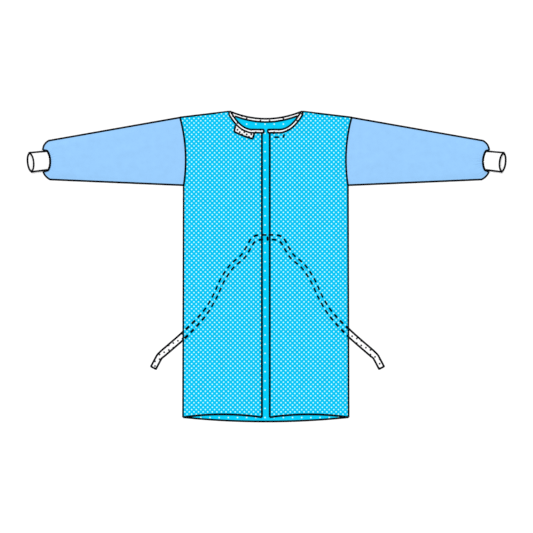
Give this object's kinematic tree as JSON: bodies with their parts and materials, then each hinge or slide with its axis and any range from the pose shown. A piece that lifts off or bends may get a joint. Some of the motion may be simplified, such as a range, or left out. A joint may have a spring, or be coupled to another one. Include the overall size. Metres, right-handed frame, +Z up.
{
  "type": "procedure gown",
  "caption": "Open-backed procedure gown laid flat, back up: bound neck with hook-and-loop tabs, waist belt under the front, set-in sleeves gathered on knitted cuffs.",
  "frame": {"origin": "middle of the gown's body, within 3 mm of the middle of its bounding box, on the surface that it lies on", "axes": "+X along the sleeves, +Y towards the neck, +Z up from the surface, towards the back opening"},
  "size_m": [1.8402, 1.193, 0.012],
  "materials": {
    "body_cloth": "matte nonwoven, light blue with small white dots",
    "sleeve_cloth": "matte nonwoven, plain pale blue",
    "cuff_knit": "soft white rib knit",
    "white_tape": "matte white tape",
    "closure_tape": "white hook-and-loop tape"
  },
  "bodies": {
    "root": {"front": "body_cloth", "back_left": "body_cloth", "back_right": "body_cloth", "sleeve_left": "sleeve_cloth", "sleeve_right": "sleeve_cloth", "cuff_left": "cuff_knit", "cuff_right": "cuff_knit", "neck_binding_front": "white_tape", "neck_binding_left": "white_tape", "neck_binding_right": "white_tape", "loop_tab": "closure_tape", "hook_tab": "closure_tape", "waist_belt": "white_tape"}
  },
  "joints": []
}
